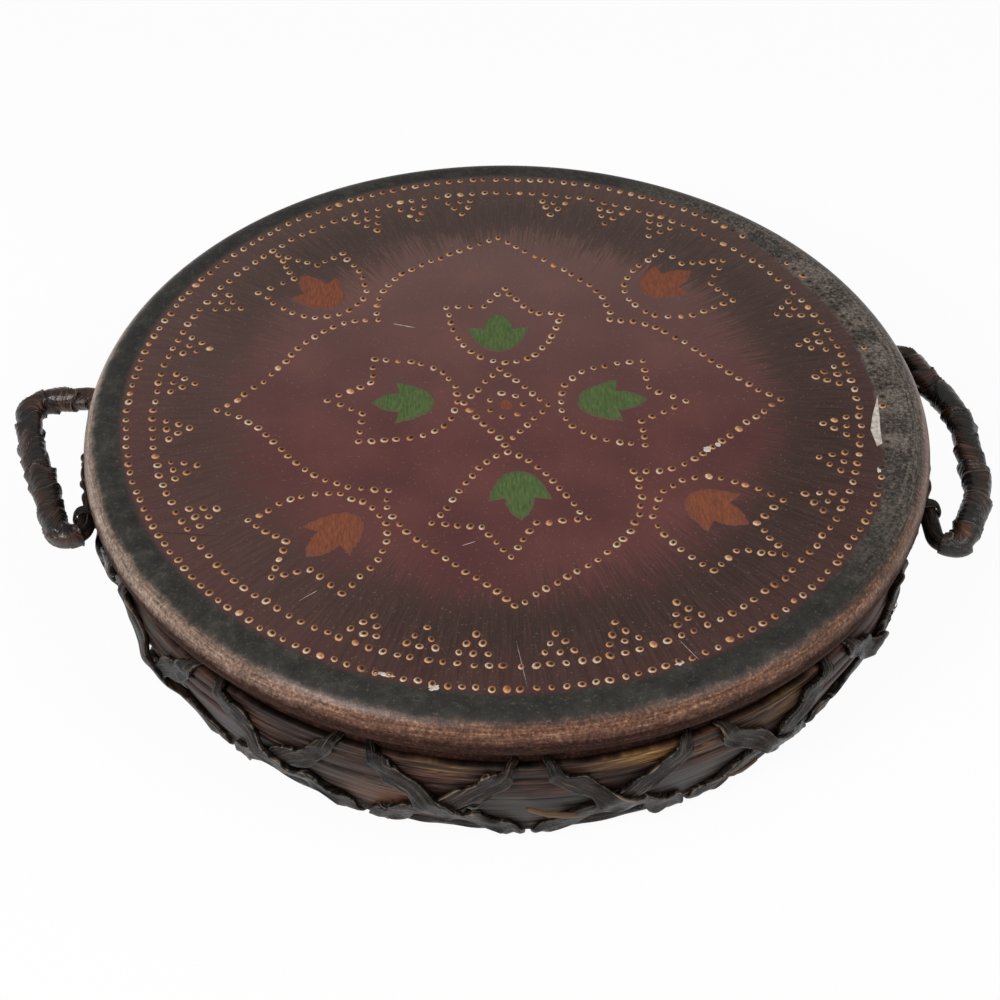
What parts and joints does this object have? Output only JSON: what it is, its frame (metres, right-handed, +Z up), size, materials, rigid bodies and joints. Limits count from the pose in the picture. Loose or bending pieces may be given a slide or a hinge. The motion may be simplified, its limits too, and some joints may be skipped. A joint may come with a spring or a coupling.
{
  "type": "hand drum",
  "caption": "Shallow round hide-headed frame drum with crossed rawhide side lacing and a wrapped swinging carrying handle on each side.",
  "frame": {"origin": "on the floor, at the middle of the whole part; the drum's axis is 4.1 mm off it along +X, because the left handle reaches further out", "axes": "+Z up through the centre of the head; the two handles lie on the X axis"},
  "size_m": [0.4922, 0.414, 0.095],
  "materials": {
    "hide": "stained rawhide, plum and charcoal, worn to copper on the rolled edge",
    "bent_wood": "dark weathered wood",
    "split_cane": "brown fibrous split cane",
    "dark_cane": "dark aged cane",
    "rawhide": "dried dark rawhide thong",
    "wrap_leather": "dark leather strip, worn shiny"
  },
  "bodies": {
    "drum": {"head_skin": "hide", "rim_hoop": "bent_wood", "shell": "bent_wood", "cane_band": "split_cane", "side_panel": "bent_wood", "lower_hoop": "dark_cane", "lace_01": "rawhide", "lace_02": "rawhide", "lace_03": "rawhide", "lace_04": "rawhide", "lace_05": "rawhide", "lace_06": "rawhide", "lace_07": "rawhide", "lace_08": "rawhide", "lace_09": "rawhide", "lace_10": "rawhide", "lace_11": "rawhide", "lace_12": "rawhide", "lace_13": "rawhide", "lace_14": "rawhide", "lace_15": "rawhide", "lace_16": "rawhide", "left_keeper_front": "rawhide", "left_keeper_back": "rawhide", "right_keeper_front": "rawhide", "right_keeper_back": "rawhide"},
    "left_handle": {"left_handle_core": "dark_cane", "left_handle_wrap": "wrap_leather"},
    "right_handle": {"right_handle_core": "dark_cane", "right_handle_wrap": "wrap_leather"}
  },
  "joints": [
    {"name": "left_handle_swing", "type": "hinge", "parent": "drum", "child": "left_handle", "pos_m": [-0.20275, 0, 0.0565], "axis": [0, 1, 0], "range_deg": [-65, 65]},
    {"name": "right_handle_swing", "type": "hinge", "parent": "drum", "child": "right_handle", "pos_m": [0.20827, 0, 0.0565], "axis": [0, -1, 0], "range_deg": [-65, 65]}
  ]
}
